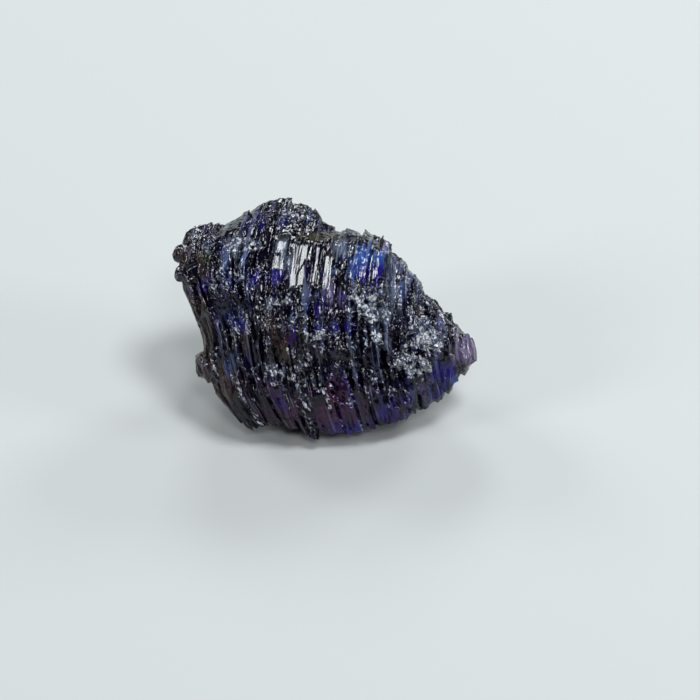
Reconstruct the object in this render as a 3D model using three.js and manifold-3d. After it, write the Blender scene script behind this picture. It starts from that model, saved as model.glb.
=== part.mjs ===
// Rough tanzanite: one broken piece of a deeply striated prismatic crystal.
// Millimetres, +Z up. The stone is shaped square on to its broad striated face (X across the face,
// Z up it, -Y out of it) and is then leaned back onto the small flat spot that it rests on.
import * as THREE from "three";
import { ConvexGeometry } from "three/addons/geometries/ConvexGeometry.js";
import { mergeVertices } from "three/addons/utils/BufferGeometryUtils.js";
import Module from "manifold-3d";

const wasm = await Module();
wasm.setup();
const { clamp, degToRad, mapLinear, smoothstep } = THREE.MathUtils;

// ---------- driving dimensions ----------

const leanBack = degToRad(40); // how far the striated face leans back at rest
const restDepth = 3.95; // from the face's middle down to the resting spot, square to the spot
const plateWidth = [0.45, 1.5]; // a plate is a few columns that grew side by side as one
const columnWidth = [0.22, 0.5];
const joint = 0.03; // the step face between two columns
const ledge = 0.06; // half the length of a ledge, in rows of blocks
const breakSpread = 0.42; // how far a ledge strays from its row, in rows of blocks
const mostProud = 0.2; // how far a block can stand proud of the stone's broad shape
const seed = 53;

// Left of this strand the plates under the ridge are as broken as the belly.
const brokenLeftOf = -2.4;
const brokenLedges = 0.6;

// Striations fan out above and below the middle of the face.
const fanSlope = -0.035;
const fanBend = 0.036;
// The left end leans in towards the bottom, and the striations left of `leanFrom` lean with it:
// [height, how far the end stands right of a plain fan].
const leanFrom = -1.5;
const endStrand = 6.3;
const leftEnd = [
  [-5, 1.85], [-4.6, 1.72], [-4.05, 1.48], [-3.3, 1.15], [-1.6, 1.05], [-0.8, 1.08], [0.45, 0.68],
  [1.3, 0.26], [2, 0.04], [2.7, -0.02], [3.6, -0.06], [4.2, 0.05], [5.2, 0.3],
];

// Guide lines that run across the stone, in order round it, from the bottom edge up the striated face and
// down the back. Each point is [across, forward of the outline's plane, height]. Between a guide line and
// the next there are `rows` rows of blocks; `ledges` is how often a column steps there, and `step` how far.
const guides = [
  { name: "bottom edge", rows: 3, ledges: 0.25, step: 0.09, line: [
    [-4.4, 0.3, -3.5], [-4, 0.5, -4.1], [-3.55, 0.6, -4.6], [-3.2, 0.7, -4.8], [-2.7, 0.8, -4.9],
    [-2.1, 0.9, -4.65], [-1.6, 1, -4.8], [-1.2, 1, -5.05], [-0.8, 1, -5.1], [0, 1, -5.18],
    [0.9, 0.9, -5.1], [1.4, 0.8, -5.1], [2.3, 0.8, -4.9], [2.9, 0.7, -4.7], [3.3, 0.6, -4.45],
    [3.9, 0.5, -4.2], [4.6, 0.45, -3.85], [4.9, 0.4, -3.55], [5.7, 0.3, -2.9], [6, 0.2, -2.55],
    [6.35, 0.2, -2]] },
  { name: "low front", rows: 4, ledges: 0.6, step: 0.13, line: [
    [-5, 0.9, -2.3], [-4.3, 1.5, -3], [-3.2, 1.9, -3.4], [-1.2, 2.2, -3.7], [1.8, 2.15, -3.5],
    [3.8, 1.7, -3], [5.2, 1.1, -2.6], [6.3, 0.45, -1.8]] },
  { name: "belly", rows: 3, ledges: 0.6, step: 0.14, line: [
    [-5.4, 1, -0.1], [-4.8, 2, -0.1], [-3.5, 2.6, -0.4], [-1, 2.85, -0.6], [1.8, 2.75, -0.4],
    [3, 2.3, -0.7], [4.2, 2.2, -1], [5.4, 1.45, -1.3], [6.4, 0.55, -1.45]] },
  { name: "crown foot", rows: 2, ledges: 0.15, step: 0.06, line: [
    [-6.1, 0.9, 1.2], [-5.2, 1.9, 1.2], [-3.5, 2.35, 1.2], [-1, 2.4, 1.1], [1.3, 2.3, 1.1], [2.4, 2, 1],
    [3.4, 1.6, 0.7], [4.3, 1.7, 0], [5.5, 1.2, -0.9], [6.4, 0.5, -1.3]] },
  { name: "ridge", rows: 2, ledges: 0.8, step: 0.16, line: [
    [-6.4, 0.5, 2.1], [-5.7, 1.1, 2.3], [-5.1, 1.35, 2.75], [-4.8, 1.4, 3.3], [-3.9, 1.35, 3.7],
    [-3.3, 1.3, 3.75], [-2, 1.4, 3.6], [-0.7, 1.4, 3.55], [-0.1, 1.4, 3.4], [1, 1.2, 3.35], [2.5, 0.9, 3.2],
    [3, 0.85, 2.7], [3.6, 0.9, 1.9], [4.2, 0.9, 0.9], [5, 0.8, 0.1], [5.9, 0.6, -0.7], [6.4, 0.4, -1.15]] },
  { name: "top edge", rows: 2, ledges: 0.6, step: 0.14, line: [
    [-6.4, 0, 3], [-6.1, -0.2, 3.7], [-5.7, -0.4, 4.05], [-5.1, -0.6, 4.1], [-4.3, -0.7, 4.22],
    [-3.9, -0.7, 4.4], [-3.6, -0.8, 4.6], [-2.9, -0.8, 4.75], [-2.6, -0.8, 5.05], [-2.2, -0.8, 5.15],
    [-0.8, -0.8, 5.15], [-0.45, -0.7, 4.8], [-0.1, -0.7, 4.25], [0.2, -0.7, 4.05], [0.9, -0.6, 4],
    [1.6, -0.6, 3.8], [1.8, -0.5, 3.5], [2.5, -0.4, 3.1], [3.1, -0.4, 2.75], [3.6, -0.3, 2.25],
    [4.1, -0.2, 1.55], [4.4, -0.2, 1.05], [4.75, -0.2, 0.95], [4.95, -0.2, 0.45], [5.3, -0.2, 0.33],
    [5.9, -0.1, -0.45], [6.3, -0.1, -0.8]] },
  { name: "top back", rows: 3, ledges: 0.4, step: 0.14, line: [
    [-6.4, -0.5, 2.5], [-5.6, -1.5, 2.8], [-4, -2.2, 3.2], [-2, -2.4, 3.8], [0.5, -2.3, 3.1],
    [2.5, -1.8, 2.2], [4.5, -1.3, 0.5], [6.3, -0.5, -1]] },
  { name: "back", rows: 2, ledges: 0.4, step: 0.12, line: [
    [-5.9, -0.9, 0.4], [-5.3, -2.2, 0.2], [-4, -3.3, -0.3], [-1, -3.7, -0.5], [2, -3.5, -0.7],
    [4.2, -2.3, -1], [6.35, -0.6, -1.4]] },
  { name: "heel", rows: 3, ledges: 0.5, step: 0.12, line: [
    [-4.9, -0.5, -2.6], [-4.4, -1.9, -2.9], [-3, -2.9, -3.1], [0, -3.1, -3.2], [2.5, -2.7, -2.9],
    [4.5, -1.5, -2.5], [6.3, -0.4, -1.8]] },
];

// Broad dents (negative) and swellings of the striated face: [across, height, half width, half height, rise].
const forms = [
  [3.05, 1.2, 0.5, 2, -0.45], // groove beside the right-hand lobe
  [4.3, -0.8, 0.95, 1.5, 0.3], // right-hand lobe
  [3.75, -1.95, 0.85, 0.5, 0.26], // lump at the lobe's foot, over smooth columns
  [1.7, 0.4, 1, 0.6, 0.36], // crumbled shelf
  [0.9, -0.75, 1.5, 0.35, -0.26], // undercut below the shelf
  [-3.8, 0, 0.8, 0.7, -0.36], // hollow on the left
  [-3.8, 1, 1, 0.3, 0.16], // lip above the hollow
  [-1.6, 0.9, 0.7, 0.45, -0.12], // foot of the smooth plates under the ridge
  [-1.3, -2.3, 1.3, 0.4, -0.18], // broken line across the lower face
];

// Round knobs that stand out of the outline: [across, forward, height, then its width, depth and height].
const knobs = [
  [-6.14, 0.3, 2.72, 0.68, 0.9, 0.8],
  [-6.05, 0.6, 1.85, 0.85, 1.1, 0.85],
  [-4.95, 0.4, -2.05, 1.3, 1.9, 1.5],
  [5.85, 0.3, -1.4, 1.2, 1.8, 1.8],
  [5.25, 0.2, 0, 0.6, 0.9, 0.6],
];

// Patches of broken chips: [across, height, half width, half height, how many, size].
const crumbs = [
  [-1.6, 4.3, 0.95, 0.4, 10, 0.46],
  [-5.2, 3.2, 0.6, 0.35, 5, 0.44],
  [4.1, -0.4, 0.7, 1, 9, 0.38],
  [3.7, -1.9, 0.8, 0.45, 8, 0.34],
  [1.8, 0.4, 0.8, 0.6, 8, 0.38],
  [-1.7, 1, 0.7, 0.3, 3, 0.34],
  [-2, -2.3, 0.9, 0.35, 5, 0.34],
];

// ---------- small helpers ----------

// A repeatable stream of numbers from 0 to 1.
function makeRandom(start) {
  let state = start;
  return () => {
    state = (state + 0x6d2b79f5) | 0;
    let t = Math.imul(state ^ (state >>> 15), 1 | state);
    t = (t + Math.imul(t ^ (t >>> 7), 61 | t)) ^ t;
    return ((t ^ (t >>> 14)) >>> 0) / 4294967296;
  };
}
const random = makeRandom(seed);
const between = (low, high) => low + (high - low) * random();

// The other columns of a table at a value of its first column, in a straight line between its rows.
function along(table, value) {
  const inside = clamp(value, table[0][0], table.at(-1)[0]);
  const next = Math.max(1, table.findIndex((row) => row[0] >= inside));
  const [before, after] = [table[next - 1], table[next]];
  return after.slice(1).map((end, i) => mapLinear(inside, before[0], after[0], before[i + 1], end));
}

// A closed three.js geometry as a manifold solid.
function solidOf(geometry) {
  const bare = new THREE.BufferGeometry().setAttribute("position", geometry.getAttribute("position"));
  if (geometry.index) bare.setIndex(geometry.index);
  const merged = mergeVertices(bare, 1e-5);
  return new wasm.Manifold(
    new wasm.Mesh({
      numProp: 3,
      vertProperties: merged.getAttribute("position").array,
      triVerts: new Uint32Array(merged.index.array),
    }),
  );
}

// ---------- striations ----------

const fanAt = (z) => fanSlope * z + fanBend * z * z;
const leanAt = (z) => along(leftEnd, z)[0] / (endStrand + leanFrom);

// Where a striation is at height z; `strand` is its place across the middle of the face.
function acrossAt(strand, z) {
  return strand + fanAt(z) + leanAt(z) * Math.max(leanFrom - strand, 0);
}

// The strand that runs through a place.
function strandAt(x, z) {
  const plain = x - fanAt(z);
  return plain < leanFrom ? (plain - leanAt(z) * leanFrom) / (1 - leanAt(z)) : plain;
}

// ---------- the stone's section at one strand ----------

for (const guide of guides) {
  guide.strands = guide.line.map(([x, forward, z]) => [strandAt(x, z), -forward, z]);
}
const guideNamed = (name) => guides.find((guide) => guide.name === name);
const zoneOfRow = guides.flatMap((guide) => Array(guide.rows).fill(guide));
const rowsInAll = zoneOfRow.length;

// Where a guide line crosses a strand, as (y, z).
const onGuide = (guide, strand) => new THREE.Vector2(...along(guide.strands, strand));

// A place round the section as (y, z): `turn` counts rows of blocks, from the bottom edge.
function onSection(strand, turn) {
  let rest = ((turn % rowsInAll) + rowsInAll) % rowsInAll;
  let at = 0;
  while (rest >= guides[at].rows) {
    rest -= guides[at].rows;
    at += 1;
  }
  const next = guides[(at + 1) % guides.length];
  return onGuide(guides[at], strand).lerp(onGuide(next, strand), rest / guides[at].rows);
}

// The direction out of the section at a place round it.
function outOfSection(strand, turn) {
  const reach = 0.35;
  const run = onSection(strand, turn + reach).sub(onSection(strand, turn - reach)).normalize();
  return new THREE.Vector2(-run.y, run.x);
}

// How thick the stone is at a strand, from its belly to its back.
function thicknessAt(strand) {
  return onGuide(guideNamed("belly"), strand).distanceTo(onGuide(guideNamed("back"), strand));
}

// ---------- relief ----------

// The broad dents and swellings at a place.
function formAt(strand, y, z) {
  if (y > 0) return 0;
  return forms.reduce((sum, [x, height, halfWidth, halfHeight, rise]) => {
    const away = Math.hypot((acrossAt(strand, z) - x) / halfWidth, (z - height) / halfHeight);
    return sum + rise * (1 - smoothstep(away, 0.35, 1.25)); // full in the middle, gone just past the edge
  }, 0);
}

// How far each block of a column or plate stands proud: runs of equal blocks with ledges between them.
function ledgesOf(strand, share) {
  const rise = [];
  let current = between(-0.12, 0.12) * share;
  for (const { name, ledges, step } of zoneOfRow) {
    const broken = name === "crown foot" && strand < brokenLeftOf;
    if (random() < (broken ? brokenLedges : ledges)) {
      current = clamp(current / 2 + between(-step, step) * share, -mostProud, mostProud);
    }
    rise.push(current);
  }
  return rise;
}

const perRow = (spread) => zoneOfRow.map(() => between(-spread, spread));

// The relief of a plate, and what a column adds to it: how proud each block stands, how it tilts sideways
// and along the column, and how far its ledge strays.
const plateRelief = (strand) => ({
  rise: ledgesOf(strand, 1), tilt: perRow(0.04), slope: perRow(0.05), breaks: perRow(0.4),
});
const columnRelief = (strand) => ({
  rise: ledgesOf(strand, 0.6), tilt: perRow(0.06), slope: perRow(0.03), breaks: perRow(0.2),
});

// Plates side by side across the stone, each of a few columns.
function makeColumns() {
  const columns = [];
  let left = -endStrand;
  while (left < endStrand) {
    const plateEnd = Math.min(left + between(...plateWidth), endStrand);
    const plate = plateRelief(left);
    while (left < plateEnd) {
      let right = left + between(...columnWidth);
      if (endStrand - right < columnWidth[0]) right = endStrand;
      const own = columnRelief(left);
      const sumOf = (key) => plate[key].map((value, row) => value + own[key][row]);
      const breaks = sumOf("breaks").map((value) => clamp(value, -breakSpread, breakSpread));
      const [rise, tilt, slope] = ["rise", "tilt", "slope"].map(sumOf);
      columns.push({ left, right: right - joint, rise, tilt, slope, breaks });
      left = right;
    }
  }
  return columns;
}

// ---------- the body ----------

// One edge of a column as a closed loop of points round the stone: two points for each block.
function loopOf(column, strand, side) {
  const strength = smoothstep(thicknessAt(strand), 0.4, 3.5); // less relief where the stone thins out
  const points = [];
  for (let row = 0; row < rowsInAll; row++) {
    const start = row + column.breaks[row] + ledge;
    const end = row + 1 + column.breaks[(row + 1) % rowsInAll] - ledge;
    for (const [turn, far] of [[start, -1], [end, 1]]) {
      const place = onSection(strand, turn);
      const rise = column.rise[row] + side * column.tilt[row] + far * column.slope[row];
      place.addScaledVector(outOfSection(strand, turn), rise * strength + formAt(strand, place.x, place.y));
      points.push(new THREE.Vector3(acrossAt(strand, place.y), place.x, place.y));
    }
  }
  return points;
}

// The whole body as one closed geometry: each loop joined to the next, and a cap at each end.
function bodyGeometry() {
  const loops = makeColumns().flatMap((column) => [
    loopOf(column, column.left, -1),
    loopOf(column, column.right, 1),
  ]);
  const round = loops[0].length;
  const vertices = loops.flat();
  const triangles = [];
  for (let loop = 0; loop + 1 < loops.length; loop++) {
    for (let i = 0; i < round; i++) {
      const a = loop * round + i;
      const b = loop * round + ((i + 1) % round);
      triangles.push(a, b + round, b, a, a + round, b + round);
    }
  }
  for (const loop of [0, loops.length - 1]) {
    const middle = new THREE.Vector3();
    loops[loop].forEach((point) => middle.addScaledVector(point, 1 / round));
    middle.x += loop ? 0.12 : -0.03; // each end is slightly domed
    const tip = vertices.push(middle) - 1;
    for (let i = 0; i < round; i++) {
      const a = loop * round + i;
      const b = loop * round + ((i + 1) % round);
      triangles.push(...(loop ? [b, a, tip] : [a, b, tip]));
    }
  }
  return new THREE.BufferGeometry().setFromPoints(vertices).setIndex(triangles);
}

// A round knob with uneven facets.
function knobSolid([x, forward, z, width, depth, height]) {
  const ball = new THREE.IcosahedronGeometry(0.5, 1).deleteAttribute("normal").deleteAttribute("uv");
  const position = mergeVertices(ball, 1e-4).getAttribute("position");
  const points = Array.from({ length: position.count }, (_, i) =>
    new THREE.Vector3().fromBufferAttribute(position, i)
      .multiply(new THREE.Vector3(width, depth, height))
      .multiplyScalar(between(0.8, 1.07))
      .add(new THREE.Vector3(x, -forward, z)));
  return solidOf(new ConvexGeometry(points));
}

// Angular chips lying on the front of the stone within one patch.
function chipSolids([x, z, halfWidth, halfHeight, count, size]) {
  const topBack = zoneOfRow.indexOf(guideNamed("top back"));
  return Array.from({ length: count }, () => {
    const height = z + between(-1, 1) * halfHeight;
    const strand = strandAt(x + between(-1, 1) * halfWidth, height);
    let turn = 0;
    while (turn < topBack && onSection(strand, turn).y < height) turn += 0.1;
    const place = onSection(strand, turn);
    const sunk = between(-0.12, 0.02);
    place.addScaledVector(outOfSection(strand, turn), formAt(strand, place.x, place.y) + sunk);
    const middle = new THREE.Vector3(acrossAt(strand, place.y), place.x, place.y);
    const turned = new THREE.Euler(between(-0.6, 0.6), between(-0.6, 0.6), between(-0.5, 0.5));
    return chip(middle, turned, size);
  });
}

// One chip: a box whose eight corners have each strayed inwards.
function chip(middle, turned, size) {
  const corners = Array.from({ length: 8 }, (_, i) => {
    const away = (bit) => ((i >> bit) & 1 ? 0.5 : -0.5) * between(0.55, 1.1) * size;
    return new THREE.Vector3(away(0) * 0.8, away(1), away(2) * 1.2).applyEuler(turned).add(middle);
  });
  return solidOf(new ConvexGeometry(corners));
}

// ---------- the stone at rest ----------

// Leans the stone back and cuts the flat spot that it rests on.
function laidToRest(solid) {
  const size = 40;
  const below = new THREE.BoxGeometry(size, size, size).translate(0, 0, -restDepth - size / 2);
  const leaned = new THREE.Matrix4().makeRotationX(-leanBack);
  return solid.transform(leaned.elements).subtract(solidOf(below));
}

// The largest piece of a solid: its outer skin, without any sealed pocket left between pieces.
const withoutVoids = (solid) => solid.decompose().reduce((a, b) => (b.volume() > a.volume() ? b : a));

// A solid as a geometry whose lowest point is at z = 0, in the middle of its own box across and deep.
function geometryOf(solid) {
  const { vertProperties, triVerts, numProp } = solid.getMesh();
  const position = new Float32Array((vertProperties.length / numProp) * 3);
  for (let i = 0; i < position.length / 3; i++) {
    position.set(vertProperties.subarray(i * numProp, i * numProp + 3), i * 3);
  }
  const geometry = new THREE.BufferGeometry()
    .setAttribute("position", new THREE.BufferAttribute(position, 3))
    .setIndex(new THREE.BufferAttribute(triVerts, 1));
  geometry.computeBoundingBox();
  const { min, max } = geometry.boundingBox;
  return geometry.translate(-(min.x + max.x) / 2, -(min.y + max.y) / 2, -min.z);
}

const pieces = [solidOf(bodyGeometry()), ...knobs.map(knobSolid), ...crumbs.flatMap(chipSolids)];
const whole = withoutVoids(laidToRest(pieces.reduce((sum, piece) => sum.add(piece))));

const tanzanite = new THREE.MeshStandardMaterial({ color: 0x1c1a4a, roughness: 0.25, metalness: 0 });
const crystal = new THREE.Mesh(geometryOf(whole), tanzanite);
crystal.name = "tanzanite_crystal";

const stone = new THREE.Group();
stone.add(crystal);

export default stone;
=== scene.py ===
import math

import bmesh
import bpy
import numpy as np
from mathutils import Matrix, Vector


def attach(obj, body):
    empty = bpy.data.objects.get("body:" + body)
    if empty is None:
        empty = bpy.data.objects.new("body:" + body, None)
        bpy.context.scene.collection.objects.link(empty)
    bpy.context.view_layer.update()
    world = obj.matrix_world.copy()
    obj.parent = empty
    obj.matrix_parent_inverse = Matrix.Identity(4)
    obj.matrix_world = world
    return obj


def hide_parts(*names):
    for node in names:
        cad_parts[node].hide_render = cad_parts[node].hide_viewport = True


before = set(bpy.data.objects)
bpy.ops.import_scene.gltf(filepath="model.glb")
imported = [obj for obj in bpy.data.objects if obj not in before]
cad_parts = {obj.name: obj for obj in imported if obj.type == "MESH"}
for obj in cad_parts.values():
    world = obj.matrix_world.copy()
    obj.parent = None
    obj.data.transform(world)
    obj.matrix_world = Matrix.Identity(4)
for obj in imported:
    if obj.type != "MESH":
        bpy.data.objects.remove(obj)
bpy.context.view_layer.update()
print("frame loaded")

mm = 0.001

# The striated face's own frame, in mm: x across it, y into the stone, z up it.
faceFrame = {
    "leanBack": 40.0,  # degrees that the striated face leans back at rest
    "middle": (-0.0183, -0.0755, 3.95),  # the middle of the face, from the scene's origin
    "fanSlope": -0.035,  # the striations fan out above and below the middle of the face
    "fanBend": 0.036,
    "leanFrom": -1.5,  # left of this the striations also follow the left end
    "leanSpan": 4.8,
    "leftEnd": (  # how far the left end stands right of a plain fan, as (up, across)
        (-5, 1.85), (-4.6, 1.72), (-4.05, 1.48), (-3.3, 1.15), (-1.6, 1.05), (-0.8, 1.08), (0.45, 0.68),
        (1.3, 0.26), (2, 0.04), (2.7, -0.02), (3.6, -0.06), (4.2, 0.05), (5.2, 0.3),
    ),
}


def leanMatrix():
    return np.array(Matrix.Rotation(math.radians(-faceFrame["leanBack"]), 3, "X"))


def toFace(points):  # metres in the scene to mm in the face's own frame
    return (points / mm - np.array(faceFrame["middle"])) @ leanMatrix()


def toScene(points):
    return (points @ leanMatrix().T + np.array(faceFrame["middle"])) * mm


def fanAt(z):
    return faceFrame["fanSlope"] * z + faceFrame["fanBend"] * z * z


def leanAt(z):
    heights, ends = zip(*faceFrame["leftEnd"])
    return np.interp(z, heights, ends) / faceFrame["leanSpan"]


def straighten(points):  # moves points so that every striation has one x from top to bottom
    out = points.copy()
    plain = points[:, 0] - fanAt(points[:, 2])
    lean = leanAt(points[:, 2])
    leaned = (plain - lean * faceFrame["leanFrom"]) / (1 - lean)
    out[:, 0] = np.where(plain < faceFrame["leanFrom"], leaned, plain)
    return out


def fanOut(points):  # undoes straighten
    out = points.copy()
    lean = leanAt(points[:, 2]) * np.maximum(faceFrame["leanFrom"] - points[:, 0], 0)
    out[:, 0] = points[:, 0] + fanAt(points[:, 2]) + lean
    return out


def getPoints(mesh):
    flat = np.empty(len(mesh.vertices) * 3, dtype=np.float32)
    mesh.vertices.foreach_get("co", flat)
    return flat.reshape(-1, 3).astype(np.float64)


def setPoints(mesh, points):
    mesh.vertices.foreach_set("co", points.astype(np.float32).ravel())
    mesh.update()


def addValues(mesh, name, values):
    layer = mesh.attributes.new(name, "FLOAT", "POINT")
    layer.data.foreach_set("value", values.astype(np.float32))


def meshFromEvaluated(obj):
    graph = bpy.context.evaluated_depsgraph_get()
    return bpy.data.meshes.new_from_object(obj.evaluated_get(graph), depsgraph=graph)


def addObject(name, data):
    obj = bpy.data.objects.new(name, data)
    bpy.context.scene.collection.objects.link(obj)
    return obj


def addNode(tree, kind, inputs=None, **settings):
    node = tree.nodes.new(kind)
    for key, value in settings.items():
        setattr(node, key, value)
    for key, value in (inputs or {}).items():
        if isinstance(value, bpy.types.NodeSocket):
            tree.links.new(value, node.inputs[key])
        else:
            node.inputs[key].default_value = value
    return node


def calc(tree, operation, a, b=0.0, c=0.0):
    return addNode(tree, "ShaderNodeMath", {0: a, 1: b, 2: c}, operation=operation).outputs[0]


def calcVector(tree, operation, a, b):
    return addNode(tree, "ShaderNodeVectorMath", {0: a, 1: b}, operation=operation).outputs["Vector"]


def splitVector(tree, vector):
    return addNode(tree, "ShaderNodeSeparateXYZ", {0: vector}).outputs


def joinVector(tree, x, y, z):
    return addNode(tree, "ShaderNodeCombineXYZ", {0: x, 1: y, 2: z}).outputs[0]


def flipped(tree, share):
    return calc(tree, "SUBTRACT", 1.0, share)


def ramp(tree, value, low, high, toLow=0.0, toHigh=1.0):  # eases from toLow to toHigh
    inputs = {"Value": value, "From Min": low, "From Max": high, "To Min": toLow, "To Max": toHigh}
    return addNode(tree, "ShaderNodeMapRange", inputs, interpolation_type="SMOOTHSTEP").outputs["Result"]


def noise(tree, place, scale, detail):
    place = calcVector(tree, "MULTIPLY", place, scale)
    return addNode(tree, "ShaderNodeTexNoise", {"Vector": place, "Scale": 1.0, "Detail": detail}).outputs[0]


def lineCells(tree, place, feature="F1"):  # uneven lengths of a line, about one unit each
    return addNode(tree, "ShaderNodeTexVoronoi", {"W": place, "Scale": 1.0},
                   voronoi_dimensions="1D", feature=feature).outputs


def chipCells(tree, place, feature="F1"):  # uneven lumps, about one unit each
    return addNode(tree, "ShaderNodeTexVoronoi", {"Vector": place, "Scale": 1.0},
                   voronoi_dimensions="3D", feature=feature).outputs


# Rods side by side, each broken into lengths. The offset keeps one set of rods from lining up with another.
def rodField(tree, place, across, along, offset):
    x, _, z = splitVector(tree, place)
    side = calc(tree, "MULTIPLY_ADD", x, across, offset)
    rod = lineCells(tree, side)
    rodShift, rodSlant, rodWhole = splitVector(tree, rod["Color"])
    inRod = calc(tree, "SUBTRACT", side, rod["W"])
    slant = calc(tree, "MULTIPLY", inRod, calc(tree, "SUBTRACT", rodSlant, 0.5))
    shift = calc(tree, "MULTIPLY_ADD", rodShift, 60.0, slant)  # no two rods break at the same heights
    height = calc(tree, "MULTIPLY_ADD", z, along, shift)
    length = lineCells(tree, height)
    inLength = calc(tree, "SUBTRACT", height, length["W"])
    level, leanAcross, leanAlong = splitVector(tree, length["Color"])
    broken = ramp(tree, rodWhole, 0.2, 0.9, 0.25, 1.3)  # some rods are whole and smooth
    return {
        "level": calc(tree, "MULTIPLY", calc(tree, "SUBTRACT", level, 0.5), broken),
        "chance": leanAcross,
        "edge": lineCells(tree, side, "DISTANCE_TO_EDGE")["Distance"],
        "leanAcross": calc(tree, "MULTIPLY", calc(tree, "DIVIDE", inRod, across),
                           calc(tree, "SUBTRACT", leanAcross, 0.5)),
        "leanAlong": calc(tree, "MULTIPLY", calc(tree, "DIVIDE", inLength, along),
                          calc(tree, "SUBTRACT", leanAlong, 0.5)),
    }


def rodHeight(tree, rods, depth, steepAcross, steepAlong):
    height = calc(tree, "MULTIPLY", rods["level"], depth)
    height = calc(tree, "MULTIPLY_ADD", rods["leanAcross"], steepAcross, height)
    return calc(tree, "MULTIPLY_ADD", rods["leanAlong"], steepAlong, height)


def chipHeight(tree, scaled, depth, steep):  # broken facets that face all ways
    chip = chipCells(tree, scaled)
    slope = calcVector(tree, "SUBTRACT", chip["Color"], (0.5, 0.5, 0.5))
    inChip = calcVector(tree, "SUBTRACT", scaled, chip["Position"])
    lean = addNode(tree, "ShaderNodeVectorMath", {0: inChip, 1: slope}, operation="DOT_PRODUCT").outputs["Value"]
    chance = splitVector(tree, chip["Color"])[0]
    level = calc(tree, "MULTIPLY", calc(tree, "SUBTRACT", chance, 0.5), depth)
    return calc(tree, "MULTIPLY_ADD", lean, steep, level), chance


crystal = {
    "stretch": 2.3,  # the voxels are this much narrower across the striations than along them
    "voxel": 0.1,  # mm along the striations
    "keepFlat": 0.12,  # mm above the resting spot within which the relief fades out
    "frontEnds": 0.6,  # mm behind the outline's plane where the zones have faded out
    "brokenBack": 0.45,  # the back is a little crumbled too
    "crispEdge": 0.5,  # how softly a zone ends, as a share of its size
    "softEdge": 1.2,
    "calm": 0.7,  # how much of the relief is left out along the top
    "calmEdges": ((0.0, 3.1, 0.4, 1.0), (1.08, 5.6, 0.5, 0.8)),  # slope, height, mm to fade in, share
    "relief": {  # sizes in mm, rods to a mm
        "Seed": 0,
        "Blur": 8,
        "Clumps Across": 1.0,
        "Clumps Along": 0.6,
        "Broad Across": 1.3,
        "Broad Along": 0.22,
        "Broad Depth": 0.14,
        "Broad Lean": 0.45,
        "Seam Width": 0.16,
        "Seam Depth": 0.26,
        "Columns Across": 3.0,
        "Columns Along": 0.5,
        "Column Depth": 0.12,
        "Column Lean": 0.8,
        "Rods Across": 7.0,
        "Rods Along": 0.9,
        "Rod Depth": 0.03,
        "Rod Lean": 0.3,
        "Stand Proud": 0.06,
        "Void Share": 0.22,
        "Void Depth": 0.3,
        "Chip Size": 0.28,
        "Chip Depth": 0.2,
        "Chip Steepness": 0.34,
    },
}

# Zones of the striated face as (across, up, half width, half height, strength), in mm. A zone with a crisp edge
# says how the surface is broken, and one with a soft edge where the skirt and each tint lie.
crispZones = {
    "crumbled": (
        (4.2, -0.5, 0.9, 1.3, 1.0), (3.7, -1.95, 0.95, 0.55, 1.0), (1.8, 0.4, 1.0, 0.8, 1.0),
        (-1.2, 4.55, 0.8, 0.5, 0.6), (-5.4, 3.3, 0.9, 0.7, 0.5), (-1.9, 0.95, 0.8, 0.4, 0.7),
        (-2.0, -2.3, 1.2, 0.45, 0.6), (-0.4, -0.4, 1.6, 0.7, 0.4), (-4.2, 1.6, 1.2, 0.7, 0.5),
        (5.3, 0.1, 0.4, 0.4, 0.5), (0.9, -2.2, 1.0, 0.5, 0.35), (-3.6, 3.1, 0.9, 0.35, 0.6),
        (1.4, 3.75, 1.4, 0.35, 0.5), (4.3, -2.9, 0.4, 0.5, 0.4),
    ),
    "frosted": (
        (3.7, -2.0, 0.9, 0.5, 1.0), (1.8, 0.2, 0.9, 0.45, 1.0), (4.5, -1.0, 0.9, 0.5, 0.85),
        (-3.6, 3.0, 0.8, 0.3, 0.7), (-1.9, 0.6, 0.5, 0.4, 0.85), (-2.0, -2.3, 0.6, 0.2, 0.5),
        (-0.3, -0.6, 0.7, 0.3, 0.6), (2.4, -1.1, 0.8, 0.4, 0.7), (1.8, 0.7, 0.7, 0.2, 0.8),
        (-4.9, 2.6, 0.4, 0.3, 0.7), (-0.6, 0.9, 0.4, 0.5, 0.8), (4.5, 0.6, 0.4, 0.3, 0.6),
    ),
    "scuffed": (
        (-2.2, 3.75, 1.4, 0.2, 0.2), (0.3, 3.75, 1.3, 0.25, 0.3), (1.5, 3.75, 1.0, 0.35, 0.35),
        (0.6, 1.2, 1.0, 0.9, 0.4), (3.6, 1.6, 0.6, 1.2, 0.35), (2.4, 3.0, 0.5, 0.5, 0.4),
    ),
    "smoothPlate": (
        (1.8, 2.45, 0.9, 0.8, 1.0), (0.2, -4.3, 2.4, 0.9, 0.15), (4.2, -3.4, 1.0, 0.65, 0.3),
        (5.9, -1.4, 0.7, 1.0, 0.7), (-3.2, -3.9, 1.0, 0.9, 0.3), (2.6, -3.9, 1.2, 0.8, 0.25),
        (0.4, 0.9, 0.9, 0.9, 0.6), (-0.3, 3.45, 1.8, 0.22, 0.9), (3.2, 2.2, 0.4, 1.0, 0.5),
        (-1.15, -0.9, 0.3, 0.8, 0.7), (-3.0, 1.9, 0.5, 0.35, 0.6), (-5.0, 1.75, 0.4, 0.4, 0.6),
    ),
    "broken": (
        (-0.5, -0.9, 4.4, 1.6, 1.0), (-3.9, 1.8, 1.7, 1.3, 1.0), (-3.8, 0.0, 1.3, 1.6, 0.8),
        (2.7, 0.6, 0.6, 1.2, 0.5), (0.5, -2.3, 3.5, 0.7, 0.8), (-5.2, -0.8, 0.9, 2.5, 0.8),
    ),
}

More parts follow.
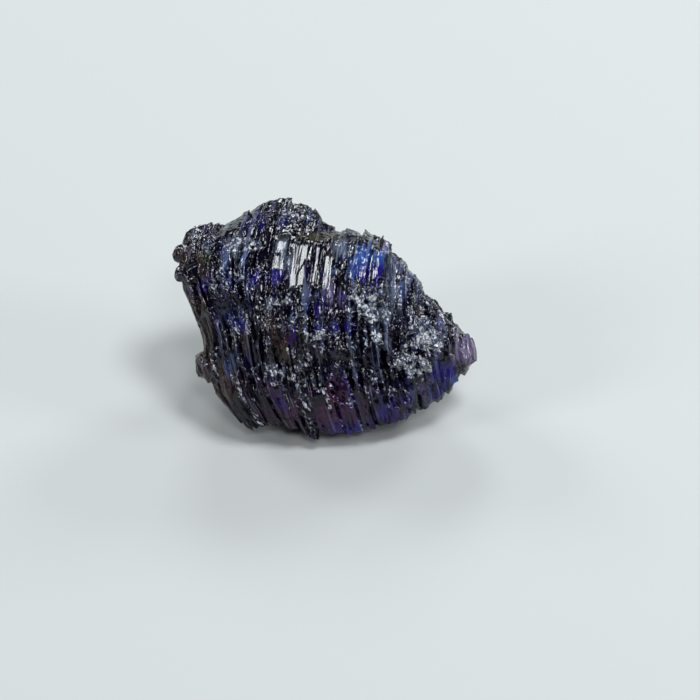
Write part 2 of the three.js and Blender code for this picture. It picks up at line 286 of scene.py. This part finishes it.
softZones = {
    "skirt": ((-0.2, -4.2, 5.5, 2.0, 1.0),),
    # Pale blue-grey tint: painted reflection of the bright surroundings on some columns.
    "steelReflection": (
        (4.1, -3.4, 0.9, 0.8, 0.8), (-2.9, -3.6, 0.4, 0.9, 0.6), (0.3, -4.2, 0.5, 0.8, 0.5),
        (1.7, -4.2, 0.4, 0.8, 0.5), (2.8, 1.4, 0.5, 1.6, 0.9), (3.2, 2.6, 0.6, 0.9, 1.0),
        (-3.7, 2.8, 0.9, 0.6, 0.8), (-5.4, 1.9, 0.4, 0.4, 0.5), (-2.9, -0.4, 0.6, 1.0, 0.4),
        (0.7, 3.0, 0.5, 0.6, 1.0), (-1.6, 2.7, 0.4, 0.9, 1.0), (3.7, 1.5, 0.5, 0.9, 1.0),
        (-0.6, 1.0, 0.6, 0.5, 0.6), (4.6, -0.3, 0.8, 0.8, 0.5), (2.4, -1.0, 0.7, 0.7, 0.5),
    ),
    # The stone's own blue, brightened in patches as painted internal reflections (blue flashes).
    "blueFlash": (
        (1.9, 2.5, 0.7, 0.6, 1.0), (-3.8, 0.2, 0.7, 0.4, 0.5), (-3.9, -1.9, 0.35, 0.6, 0.55),
        (1.2, 2.1, 0.8, 0.6, 0.9), (3.4, 1.6, 0.5, 0.9, 0.6), (-4.3, 2.4, 0.8, 0.5, 0.3),
        (-0.7, 4.4, 0.3, 0.4, 0.6), (-3.0, 2.6, 0.6, 0.6, 0.4), (-0.8, 0.0, 0.3, 0.6, 0.5),
        (1.5, -0.3, 0.5, 0.4, 0.5), (4.8, -0.1, 0.6, 0.5, 0.4), (5.4, -2.7, 0.5, 0.5, 0.9),
    ),
    "navy": (
        (2.0, 1.9, 0.8, 0.5, 1.0), (-2.2, 1.75, 0.6, 0.4, 0.9), (0.4, -0.45, 1.7, 0.3, 0.8),
        (-3.8, -0.2, 0.8, 0.5, 0.6), (-5.3, 1.3, 0.5, 0.5, 0.7), (-0.3, 0.6, 0.5, 1.0, 0.6),
        (3.3, -2.7, 0.5, 0.6, 0.7), (0.9, 1.0, 0.8, 0.6, 0.4), (5.1, -2.4, 0.6, 0.8, 1.0),
        (-4.6, 2.9, 0.4, 0.4, 0.5), (2.6, -3.9, 0.8, 0.9, 1.0), (-1.9, -3.7, 0.4, 0.5, 0.7),
        (-3.0, 1.8, 0.4, 0.4, 0.5), (-1.1, -1.0, 0.5, 0.7, 0.4), (1.2, -3.2, 0.5, 0.8, 0.6),
        (3.6, -3.5, 0.6, 0.9, 0.8), (1.4, -4.7, 1.6, 0.4, 0.8), (3.2, -4.3, 0.9, 0.4, 0.8),
        (4.8, -3.2, 0.6, 0.4, 0.8),
    ),
    "violet": (
        (5.9, -1.5, 0.6, 1.0, 0.6), (5.0, -1.7, 0.4, 0.9, 0.6), (-1.6, -4.0, 1.6, 1.0, 1.0),
        (0.9, -4.0, 1.9, 1.3, 1.0), (2.8, -3.9, 1.3, 1.0, 0.9), (0.3, 0.3, 1.0, 0.6, 0.4),
        (4.4, 0.3, 0.9, 0.9, 0.35), (-3.0, -3.4, 1.2, 1.2, 0.7), (4.4, -3.2, 0.8, 0.7, 0.7),
    ),
    # Pale lavender: the stone's own tint, and on the thin right tip painted light shining through.
    "lavender": (
        (5.9, -1.3, 0.8, 1.0, 1.0), (0.5, 1.0, 1.0, 0.8, 0.35), (5.0, -0.3, 0.5, 0.7, 0.6),
        (3.4, 2.0, 0.6, 1.2, 0.6), (-0.6, 4.9, 0.9, 0.3, 0.6), (1.4, 3.7, 1.2, 0.4, 0.5),
        (2.7, 3.1, 0.5, 0.5, 0.5),
    ),
    "smoky": (
        (-4.3, -3.2, 0.9, 1.5, 1.0), (-5.3, -1.6, 0.7, 1.6, 1.0), (-6.0, 2.9, 0.7, 0.8, 1.0),
        (-5.4, 1.2, 0.5, 1.2, 1.0), (-1.3, -1.3, 1.0, 1.0, 0.8), (-2.2, -0.6, 0.8, 1.0, 0.6),
        (0.2, 2.6, 0.4, 0.9, 0.5), (-4.8, 3.7, 1.1, 0.4, 0.5), (-0.5, 5.0, 1.0, 0.4, 0.4),
        (-3.6, -0.9, 0.8, 0.8, 0.5),
    ),
    "olive": (
        (-0.4, 3.45, 1.8, 0.25, 1.0), (-5.0, 2.6, 0.7, 0.5, 0.8), (-3.2, -0.4, 0.8, 0.6, 0.7),
        (-1.6, -1.6, 1.0, 0.7, 0.7), (3.9, 0.3, 0.5, 0.5, 0.6), (1.9, 3.6, 1.0, 0.35, 0.8),
        (0.4, 2.2, 0.3, 0.9, 0.5), (-2.4, 2.2, 0.4, 0.6, 0.5), (0.9, -1.6, 0.8, 0.6, 0.5),
    ),
}

# Crumbled seams between columns as (across, up, half width, half height), in mm.
seams = (
    (-0.8, -4.0, 0.17, 1.1), (-2.7, -4.5, 0.2, 0.5), (2.95, -3.4, 0.2, 0.5), (1.0, -3.6, 0.3, 0.2),
    (-0.3, -2.7, 0.22, 0.4), (-4.6, -2.5, 0.12, 0.6), (-3.5, -3.3, 0.1, 0.8), (2.1, -2.6, 0.12, 0.7),
    (0.1, -3.4, 0.1, 0.6), (3.5, -3.2, 0.12, 0.6), (-1.7, -2.6, 0.2, 0.3),
)

# Smooth striated plates under the ridge as (strand, up, half width, half height), in mm.
plates = {
    "places": (
        (-2.1, 2.65, 0.36, 0.85), (-1.2, 2.2, 0.38, 1.15), (0.0, 1.9, 0.28, 0.95), (-0.5, 2.2, 0.2, 1.0),
    ),
    "facing": (0.17, -0.90, 0.40),  # the way that they all face, in the face's own frame
    "frontOf": -0.6,  # only what lies in front of this is laid flat
}


def shapePlates(straight):  # lays the front of each plate flat
    facing = np.array(plates["facing"])
    shaped = np.zeros(len(straight))
    for strand, up, halfWidth, halfHeight in plates["places"]:
        across = np.clip(5 * (1 - np.abs(straight[:, 0] - strand) / halfWidth), 0, 1)
        along = np.clip(4 * (1 - np.abs(straight[:, 2] - up) / halfHeight), 0, 1)
        share = across * along * (straight[:, 1] < plates["frontOf"])
        x, z = straight[:, 0] - strand, straight[:, 2] - up
        flat = -(facing[0] * x + facing[2] * z) / facing[1]
        middle = np.average(straight[:, 1] - flat, weights=share)
        straight[:, 1] += share * (middle + flat - straight[:, 1])
        shaped = np.maximum(shaped, share)
    return shaped


def awayFrom(points, x, z, halfWidth, halfHeight):  # 1 on the edge of an oval on the face
    return np.hypot((points[:, 0] - x) / halfWidth, (points[:, 2] - z) / halfHeight)


def zoneMask(face, patches, softness):
    mask = np.zeros(len(face))
    for *oval, strength in patches:
        inside = (1.0 - awayFrom(face, *oval)) / softness + 0.5
        mask = np.maximum(mask, strength * np.clip(inside, 0, 1))
    return mask


def seamMask(straight):  # strips that follow the striations
    mask = np.zeros(len(straight))
    for x, z, halfWidth, halfHeight in seams:
        strand = straighten(np.array([[x, 0.0, z]]))[0, 0]
        away = awayFrom(straight, strand, z, halfWidth, halfHeight)
        mask = np.maximum(mask, np.clip(2.0 * (1.3 - away), 0, 1))
    return mask


def calmMask(face):  # 1 along the top edge and the slope on the right
    mask = np.zeros(len(face))
    for slope, start, fade, share in crystal["calmEdges"]:
        beyond = (face[:, 2] + slope * face[:, 0] - start) / fade
        mask = np.maximum(mask, share * np.clip(beyond, 0, 1))
    return mask


def straightMesh(node):  # the solid as an even mesh, finer across the striations than along them
    work = bmesh.new()
    work.from_mesh(node.data)
    bmesh.ops.remove_doubles(work, verts=work.verts, dist=1e-6)
    mesh = bpy.data.meshes.new("straightCrystal")
    work.to_mesh(mesh)
    work.free()
    points = straighten(toFace(getPoints(mesh)))
    points[:, 0] *= crystal["stretch"]
    setPoints(mesh, points)
    obj = addObject("straightCrystal", mesh)
    remesh = obj.modifiers.new("remesh", "REMESH")
    remesh.mode = "VOXEL"
    remesh.voxel_size = crystal["voxel"]
    even = meshFromEvaluated(obj)
    obj.modifiers.remove(remesh)
    points = getPoints(even)
    points[:, 0] /= crystal["stretch"]
    setPoints(even, points)
    obj.data = even
    return obj


def reliefInputs(tree):
    sockets = tree.interface
    sockets.new_socket("Geometry", in_out="INPUT", socket_type="NodeSocketGeometry")
    for name, value in crystal["relief"].items():
        kind = "NodeSocketInt" if isinstance(value, int) else "NodeSocketFloat"
        sockets.new_socket(name, in_out="INPUT", socket_type=kind)
    sockets.new_socket("Material", in_out="INPUT", socket_type="NodeSocketMaterial")
    sockets.new_socket("Geometry", in_out="OUTPUT", socket_type="NodeSocketGeometry")
    return addNode(tree, "NodeGroupInput").outputs


def reliefTree():
    tree = bpy.data.node_groups.new("crystalRelief", "GeometryNodeTree")
    given = reliefInputs(tree)

    def zone(name):
        node = addNode(tree, "GeometryNodeInputNamedAttribute", {"Name": name}, data_type="FLOAT")
        return node.outputs["Attribute"]

    def mix(factor, a, b):
        return addNode(tree, "ShaderNodeMix", {"Factor": factor, "A": a, "B": b}, data_type="FLOAT").outputs["Result"]

    # The stone's broad outward direction, and a place that runs round its ends too. The seed moves all patterns.
    x, y, z = splitVector(tree, addNode(tree, "GeometryNodeInputPosition").outputs[0])
    normal = addNode(tree, "GeometryNodeInputNormal").outputs[0]
    outward = addNode(tree, "GeometryNodeBlurAttribute", {"Value": normal, "Iterations": given["Blur"]},
                      data_type="FLOAT_VECTOR").outputs[0]
    evenness = addNode(tree, "ShaderNodeVectorMath", {0: outward}, operation="LENGTH").outputs["Value"]
    outward = calcVector(tree, "NORMALIZE", outward, (0, 0, 0))
    onEnd = calc(tree, "GREATER_THAN", calc(tree, "ABSOLUTE", splitVector(tree, outward)[0]), 0.8)
    place = joinVector(tree, mix(onEnd, x, y), y, z)
    place = calcVector(tree, "ADD", place, calc(tree, "MULTIPLY", given["Seed"], 7.3))

    clumpScale = joinVector(tree, given["Clumps Across"], given["Clumps Across"], given["Clumps Along"])
    clumps = noise(tree, place, clumpScale, 2.0)
    smooth = calc(tree, "MAXIMUM", zone("smoothPlate"), zone("plate"))
    rough = calc(tree, "MULTIPLY_ADD", smooth, -0.85, 1.0)

    # Broad columns show in the skirt alone, each from its own height down, with seams between them.
    broad = rodField(tree, place, given["Broad Across"], given["Broad Along"], 6.4)
    broadTint = broad["chance"]
    skirt = calc(tree, "MULTIPLY_ADD", broadTint, 0.9, calc(tree, "SUBTRACT", zone("skirt"), 0.45))
    skirt = ramp(tree, skirt, 0.3, 0.6)
    broken = calc(tree, "MULTIPLY", zone("broken"), calc(tree, "MULTIPLY_ADD", skirt, -0.7, 1.0))
    seam = flipped(tree, ramp(tree, broad["edge"], 0.0, given["Seam Width"]))
    seam = calc(tree, "MULTIPLY", seam, skirt)
    seamFilled = ramp(tree, clumps, 0.4, 0.55)  # a seam is crumbled here and there, and elsewhere open
    gap = calc(tree, "MULTIPLY", seam, flipped(tree, seamFilled))
    broad = rodHeight(tree, broad, given["Broad Depth"], given["Broad Lean"], 0.05)
    broad = calc(tree, "MULTIPLY", broad, skirt)
    broad = calc(tree, "SUBTRACT", broad, calc(tree, "MULTIPLY", gap, given["Seam Depth"]))

    columns = rodField(tree, place, given["Columns Across"], given["Columns Along"], 3.7)
    rods = rodField(tree, place, given["Rods Across"], given["Rods Along"], 8.3)
    tint = calc(tree, "MULTIPLY", columns["chance"], 0.5)
    tint = calc(tree, "MULTIPLY_ADD", rods["chance"], 0.5, tint)
    tint = mix(calc(tree, "MULTIPLY", skirt, 0.7), tint, broadTint)
    void = calc(tree, "LESS_THAN", rods["chance"], calc(tree, "MULTIPLY", given["Void Share"], broken))
    void = calc(tree, "MULTIPLY", void, given["Void Depth"])
    columns = rodHeight(tree, columns, given["Column Depth"], given["Column Lean"], 0.25)
    columns = calc(tree, "MULTIPLY", columns, calc(tree, "MULTIPLY_ADD", skirt, -0.4, 1.0))  # lower in the skirt
    rods = rodHeight(tree, rods, given["Rod Depth"], given["Rod Lean"], 0.15)
    rods = calc(tree, "MULTIPLY", rods, calc(tree, "MULTIPLY_ADD", skirt, -0.6, 1.0))

    # Crumbled places are broken into chips.
    crumb = calc(tree, "MULTIPLY", calc(tree, "MULTIPLY", broken, ramp(tree, clumps, 0.44, 0.58)), 0.5)
    crumb = calc(tree, "MAXIMUM", crumb, zone("crumbled"))
    crumb = calc(tree, "MAXIMUM", crumb, calc(tree, "MULTIPLY", seam, seamFilled))
    crumb = calc(tree, "MULTIPLY", crumb, rough)
    crumb = calc(tree, "MAXIMUM", crumb, zone("seam"))
    chipPlace = calcVector(tree, "DIVIDE", place, given["Chip Size"])
    chips, _ = chipHeight(tree, chipPlace, given["Chip Depth"], given["Chip Steepness"])
    chips = calc(tree, "MULTIPLY", chips, crumb)
    chips = calc(tree, "MULTIPLY", chips, calc(tree, "MULTIPLY_ADD", zone("calm"), 0.8, 0.2))

    total = calc(tree, "ADD", calc(tree, "ADD", columns, rods), calc(tree, "SUBTRACT", broad, void))
    total = calc(tree, "MULTIPLY", total, zone("calm"))
    total = calc(tree, "MULTIPLY_ADD", total, rough, chips)
    total = calc(tree, "MULTIPLY", total, zone("reliefShare"))
    total = calc(tree, "MULTIPLY", total, ramp(tree, evenness, 0.45, 0.85, 0.15, 1.0))  # little on sharp edges
    total = calc(tree, "SMOOTH_MIN", total, given["Stand Proud"], 0.05)

    geometry = given["Geometry"]
    for name, value in (("grain", place), ("relief", total), ("columnTint", tint), ("crumb", crumb)):
        inputs = {"Geometry": geometry, "Name": name, "Value": value}
        kind = "FLOAT_VECTOR" if name == "grain" else "FLOAT"
        geometry = addNode(tree, "GeometryNodeStoreNamedAttribute", inputs, data_type=kind, domain="POINT").outputs[0]
    offset = addNode(tree, "ShaderNodeVectorMath", {0: outward, "Scale": total}, operation="SCALE").outputs[0]
    moved = addNode(tree, "GeometryNodeSetPosition", {"Geometry": geometry, "Offset": offset})
    soft = addNode(tree, "GeometryNodeSetShadeSmooth", {"Geometry": moved.outputs[0], "Shade Smooth": True})
    real = addNode(tree, "GeometryNodeRealizeInstances", {"Geometry": soft.outputs[0]})
    done = addNode(tree, "GeometryNodeSetMaterial", {"Geometry": real.outputs[0], "Material": given["Material"]})
    addNode(tree, "NodeGroupOutput", {0: done.outputs[0]})
    return tree


def applyTree(obj, tree, values):
    modifier = obj.modifiers.new(tree.name, "NODES")
    modifier.node_group = tree
    for item in tree.interface.items_tree:
        if item.name in values:
            modifier[item.identifier] = values[item.name]
    mesh = meshFromEvaluated(obj)
    obj.modifiers.remove(modifier)
    obj.data = mesh


def makeCrystal(material):
    obj = straightMesh(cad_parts["tanzanite_crystal"])
    straight = getPoints(obj.data)
    addValues(obj.data, "plate", shapePlates(straight))
    setPoints(obj.data, straight)
    print("crystal straightened")

    face = fanOut(straight)
    front = np.clip(crystal["frontEnds"] - face[:, 1], 0, 1)
    masks = {}
    for zones, edge in ((crispZones, crystal["crispEdge"]), (softZones, crystal["softEdge"])):
        for name, patches in zones.items():
            masks[name] = zoneMask(face, patches, edge) * front
    masks["broken"] = np.maximum(masks["broken"], crystal["brokenBack"] * (1 - front))
    masks["seam"] = seamMask(straight) * front
    masks["calm"] = 1 - crystal["calm"] * calmMask(face)
    height = toScene(face)[:, 2] / mm
    masks["reliefShare"] = np.clip(height / crystal["keepFlat"] - 0.3, 0, 1)
    for name, values in masks.items():
        addValues(obj.data, name, values)

    applyTree(obj, reliefTree(), {**crystal["relief"], "Material": material})
    points = toScene(fanOut(getPoints(obj.data)))
    points[:, 2] = np.maximum(points[:, 2], 0.0)
    setPoints(obj.data, points)
    obj.name = obj.data.name = "tanzaniteCrystal"
    print("crystal mesh:", len(obj.data.vertices), "points,", len(obj.data.polygons), "faces")
    return obj


gem = {
    "ior": 1.69,
    "specular": 0.06,
    "transmission": 0.4,
    "absorption": (0.25, 0.18, 0.72, 1.0),
    "density": 900.0,  # per metre
    "deep": (0.003, 0.002, 0.010, 1.0),
    "inner": (0.010, 0.010, 0.12, 1.0),
    "tints": {  # laid over the deep colour in this order, each in its own zone
        # Pale blue-grey tint: painted reflection of the bright surroundings on some columns.
        "steelReflection": (0.16, 0.20, 0.30, 1.0),
        # Pale lavender: the stone's own tint, and on the thin right tip painted light shining through.
        "lavender": (0.31, 0.25, 0.43, 1.0),
        "olive": (0.046, 0.046, 0.026, 1.0),
        "smoky": (0.050, 0.024, 0.015, 1.0),
        "violet": (0.060, 0.012, 0.062, 1.0),
        # The stone's own blue, brightened in patches as painted internal reflections (blue flashes).
        "blueFlash": (0.035, 0.11, 0.42, 1.0),
        "navy": (0.018, 0.010, 0.22, 1.0),
    },
    # Paler lines along the striations: partly growth lines, partly painted highlights.
    "streakSheen": (0.22, 0.25, 0.36, 1.0),
    "dusty": (0.09, 0.11, 0.20, 1.0),
    # Pale: scuffed wear and frosted grains, and painted glints on grains and chip edges.
    "pale": (0.90, 0.92, 0.95, 1.0),
    "finest": {"across": 13.0, "along": 0.6, "depth": 0.002, "leanAcross": 0.2, "leanAlong": 0.02},
    "grit": {"size": (0.12, 0.12, 0.145), "depth": 0.01, "steepness": 0.22},
    "frost": 1.02,  # how much whiter the frosted zones are than other crumbled places, partly frost and partly painted glints
    "roughness": (0.07, 0.35),  # clean and scuffed
    "unevenRoughness": 0.14,
    "plateRoughness": 0.04,  # the plates are a little rougher than the rest
}


def gemMaterial():
    material = bpy.data.materials.new("tanzanite")
    material.use_nodes = True
    tree = material.node_tree
    tree.nodes.clear()

    def zone(name):
        return addNode(tree, "ShaderNodeAttribute", attribute_name=name).outputs["Fac"]

    def mixColour(factor, a, b):
        return addNode(tree, "ShaderNodeMix", {"Factor": factor, "A": a, "B": b}, data_type="RGBA").outputs["Result"]

    grain = addNode(tree, "ShaderNodeAttribute", attribute_name="grain").outputs["Vector"]
    relief = zone("relief")
    crumb = zone("crumb")
    plate = zone("plate")
    uneven = noise(tree, grain, (2.2, 1.5, 0.9), 3.0)
    speckle = noise(tree, grain, (12.0, 9.0, 7.0), 2.0)
    finest = gem["finest"]
    lines = rodField(tree, grain, finest["across"], finest["along"], 1.9)
    gritPlace = calcVector(tree, "DIVIDE", grain, gem["grit"]["size"])
    grit, gritChance = chipHeight(tree, gritPlace, gem["grit"]["depth"], gem["grit"]["steepness"])
    chipPlace = calcVector(tree, "DIVIDE", grain, (crystal["relief"]["Chip Size"],) * 3)
    chipChance = splitVector(tree, chipCells(tree, chipPlace)["Color"])[0]

    # The body colour, column by column, with the tints in their zones, some of them painted reflections and painted
    # light shining through.
    byColumn = calc(tree, "ADD", zone("columnTint"), calc(tree, "MULTIPLY_ADD", uneven, 1.6, -1.3))
    byColumn = calc(tree, "MULTIPLY_ADD", calc(tree, "SUBTRACT", lines["chance"], 0.5), 0.5, byColumn)
    colour = mixColour(ramp(tree, byColumn, 0.0, 0.6), gem["deep"], gem["inner"])
    for name, tint in gem["tints"].items():
        share = calc(tree, "MULTIPLY_ADD", zone(name), 0.9, calc(tree, "MULTIPLY", byColumn, 1.1))
        share = calc(tree, "MULTIPLY", ramp(tree, share, 0.28, 1.05), ramp(tree, zone(name), 0.0, 0.4))
        colour = mixColour(share, colour, tint)
    # Paler lines along the striations: partly growth lines, partly painted highlights where the striations catch the
    # light.
    sheenStreaks = ramp(tree, lines["chance"], 0.7, 1.0)
    sheenStreaks = calc(tree, "MULTIPLY", sheenStreaks, ramp(tree, uneven, 0.35, 0.65, 0.05, 0.6))
    colour = mixColour(sheenStreaks, colour, gem["streakSheen"])
    colour = mixColour(ramp(tree, relief, -0.22, -0.02), gem["deep"], colour)  # painted shade: recesses are darkened to the deep colour

    # Crumbled places are dusty and flecked with pale grains, the frosted ones most of all. The pale grains and pale
    # chip edges are partly frost and wear, partly painted glints.
    frosted = calc(tree, "MAXIMUM", zone("frosted"), calc(tree, "MULTIPLY", zone("seam"), 0.4))
    frosted = calc(tree, "MULTIPLY", frosted, frosted)
    crumbs = calc(tree, "MULTIPLY_ADD", calc(tree, "SUBTRACT", chipChance, 0.5), 0.6, gritChance)
    crumbs = calc(tree, "MULTIPLY_ADD", relief, 1.5, crumbs)
    crumbs = calc(tree, "MULTIPLY_ADD", frosted, gem["frost"], crumbs)
    crumbly = ramp(tree, crumb, 0.1, 0.5)
    colour = mixColour(calc(tree, "MULTIPLY", ramp(tree, crumbs, 0.6, 1.0), crumbly), colour, gem["dusty"])
    gritEdge = chipCells(tree, gritPlace, "DISTANCE_TO_EDGE")["Distance"]
    chipEdge = chipCells(tree, chipPlace, "DISTANCE_TO_EDGE")["Distance"]
    grainsAndGlints = calc(tree, "MULTIPLY", ramp(tree, crumbs, 0.93, 1.13), crumbly)
    grainsAndGlints = calc(tree, "MULTIPLY", grainsAndGlints, ramp(tree, gritEdge, 0.02, 0.17))
    grainsAndGlints = calc(tree, "MULTIPLY", grainsAndGlints, ramp(tree, gritChance, 0.14, 0.26))  # some grains stay dark
    grainsAndGlints = calc(tree, "MULTIPLY", grainsAndGlints, ramp(tree, speckle, 0.36, 0.50, 0.7, 1.0))
    # Pale chip edges: painted highlights along the crackly edges, partly wear.
    edges = flipped(tree, ramp(tree, chipEdge, 0.02, 0.12))
    edges = calc(tree, "MULTIPLY", edges, ramp(tree, calc(tree, "ADD", speckle, relief), 0.48, 0.6, 0.0, 0.5))
    grainsAndGlints = calc(tree, "MAXIMUM", grainsAndGlints, calc(tree, "MULTIPLY", edges, crumbly))
    grainsAndGlints = ramp(tree, grainsAndGlints, 0.2, 0.65)
    scuff = calc(tree, "MULTIPLY_ADD", relief, 3.0, calc(tree, "ADD", speckle, zone("scuffed")))
    scuff = ramp(tree, scuff, 0.9, 1.4)
    colour = mixColour(calc(tree, "MAXIMUM", scuff, grainsAndGlints), colour, gem["pale"])

    # The finest growth lines and grit are too fine for the mesh.
    lineHeight = rodHeight(tree, lines, finest["depth"], finest["leanAcross"], finest["leanAlong"])
    lineHeight = calc(tree, "MULTIPLY", lineHeight, calc(tree, "MULTIPLY_ADD", plate, 0.3, 1.0))
    glint = ramp(tree, gritChance, 0.90, 0.94, 0.1, 0.8)  # a few facets catch the light everywhere
    glint = calc(tree, "MULTIPLY", glint, flipped(tree, plate))
    height = calc(tree, "MULTIPLY_ADD", grit, calc(tree, "MAXIMUM", crumb, glint), lineHeight)
    bump = addNode(tree, "ShaderNodeBump", {"Strength": 1.0, "Distance": mm, "Height": height}).outputs[0]

    clean, scuffed = gem["roughness"]
    roughness = ramp(tree, scuff, 0.0, 1.0, clean, scuffed)
    roughness = calc(tree, "MULTIPLY_ADD", uneven, gem["unevenRoughness"], roughness)
    roughness = calc(tree, "MULTIPLY_ADD", plate, gem["plateRoughness"], roughness)
    shader = addNode(tree, "ShaderNodeBsdfPrincipled", {
        "Base Color": colour,
        "Roughness": roughness,
        "Metallic": 0.0,
        "IOR": gem["ior"],
        "Specular IOR Level": gem["specular"],
        "Transmission Weight": gem["transmission"],
        "Normal": bump,
    })
    absorb = addNode(tree, "ShaderNodeVolumeAbsorption", {"Color": gem["absorption"], "Density": gem["density"]})
    addNode(tree, "ShaderNodeOutputMaterial", {"Surface": shader.outputs[0], "Volume": absorb.outputs[0]})
    return material


stone = makeCrystal(gemMaterial())
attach(stone, "root")
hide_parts("tanzanite_crystal")
print("crystal dressed")


studio = {
    "floorSize": 1.2,
    "floorColour": (0.455, 0.465, 0.465, 1.0),
    "floorRoughness": 0.9,
    "lightColour": (0.94, 0.985, 1.0),
    "worldColour": (0.80, 0.88, 0.95, 1.0),
    "worldStrength": 0.02,
    "soft": (  # name, degrees round from the front to the right, degrees up, distance, size, radiance
        ("overhead", 75, 72, 0.180, (0.050, 0.050), 27.0),
        ("front", 12, 52, 0.200, (0.044, 0.036), 18.0),
        ("left", -70, 28, 0.200, (0.044, 0.058), 17.0),
        ("right", 80, 24, 0.200, (0.048, 0.044), 18.0),
        ("rightBack", 140, 30, 0.200, (0.056, 0.052), 17.0),
        ("back", 185, 32, 0.200, (0.052, 0.048), 18.0),
        ("leftBack", 230, 30, 0.200, (0.052, 0.048), 17.0),
    ),
}


def makeFloor():
    material = bpy.data.materials.new("paleFloor")
    material.use_nodes = True
    shader = material.node_tree.nodes["Principled BSDF"]
    shader.inputs["Base Color"].default_value = studio["floorColour"]
    shader.inputs["Roughness"].default_value = studio["floorRoughness"]
    work = bmesh.new()
    bmesh.ops.create_grid(work, x_segments=4, y_segments=4, size=studio["floorSize"] / 2)
    mesh = bpy.data.meshes.new("floor")
    work.to_mesh(mesh)
    work.free()
    mesh.materials.append(material)
    addObject("floor", mesh)


def makeLights():
    for name, turn, up, distance, size, radiance in studio["soft"]:
        turn, up = math.radians(turn), math.radians(up)
        towards = Vector((math.cos(up) * math.sin(turn), -math.cos(up) * math.cos(turn), math.sin(up)))
        lamp = bpy.data.lights.new(name, "AREA")
        lamp.shape = "RECTANGLE"
        lamp.size, lamp.size_y = size
        lamp.energy = radiance * math.pi * size[0] * size[1]
        lamp.color = studio["lightColour"]
        obj = addObject(name, lamp)
        obj.location = towards * distance
        obj.rotation_euler = towards.to_track_quat("Z", "Y").to_euler()
    world = bpy.data.worlds.new("studio")
    world.use_nodes = True
    background = world.node_tree.nodes["Background"]
    background.inputs["Color"].default_value = studio["worldColour"]
    background.inputs["Strength"].default_value = studio["worldStrength"]
    bpy.context.scene.world = world
    bpy.context.scene.view_settings.view_transform = "Standard"


camera = {
    "elevation": 40.0,  # degrees above the floor, square on to the striated face
    "distance": 0.15,
    "frameWidth": 0.03004,  # what the frame spans at the stone, in metres
    "aim": (1.086, 0.0, -1.382),  # middle of the frame on the face, in mm
    "sensor": 36,
    "clipStart": 0.005,
}


def makeCamera():
    tilt = math.radians(camera["elevation"])
    aim = Vector(toScene(np.array([camera["aim"]]))[0])
    back = Vector((0, -math.cos(tilt), math.sin(tilt)))
    lens = bpy.data.cameras.new("camera")
    lens.sensor_width = camera["sensor"]
    lens.lens = camera["sensor"] * camera["distance"] / camera["frameWidth"]
    lens.clip_start = camera["clipStart"]
    obj = addObject("camera", lens)
    obj.location = aim + back * camera["distance"]
    obj.rotation_euler = (-back).to_track_quat("-Z", "Y").to_euler()
    bpy.context.scene.camera = obj


makeFloor()
makeLights()
makeCamera()
print("studio ready")
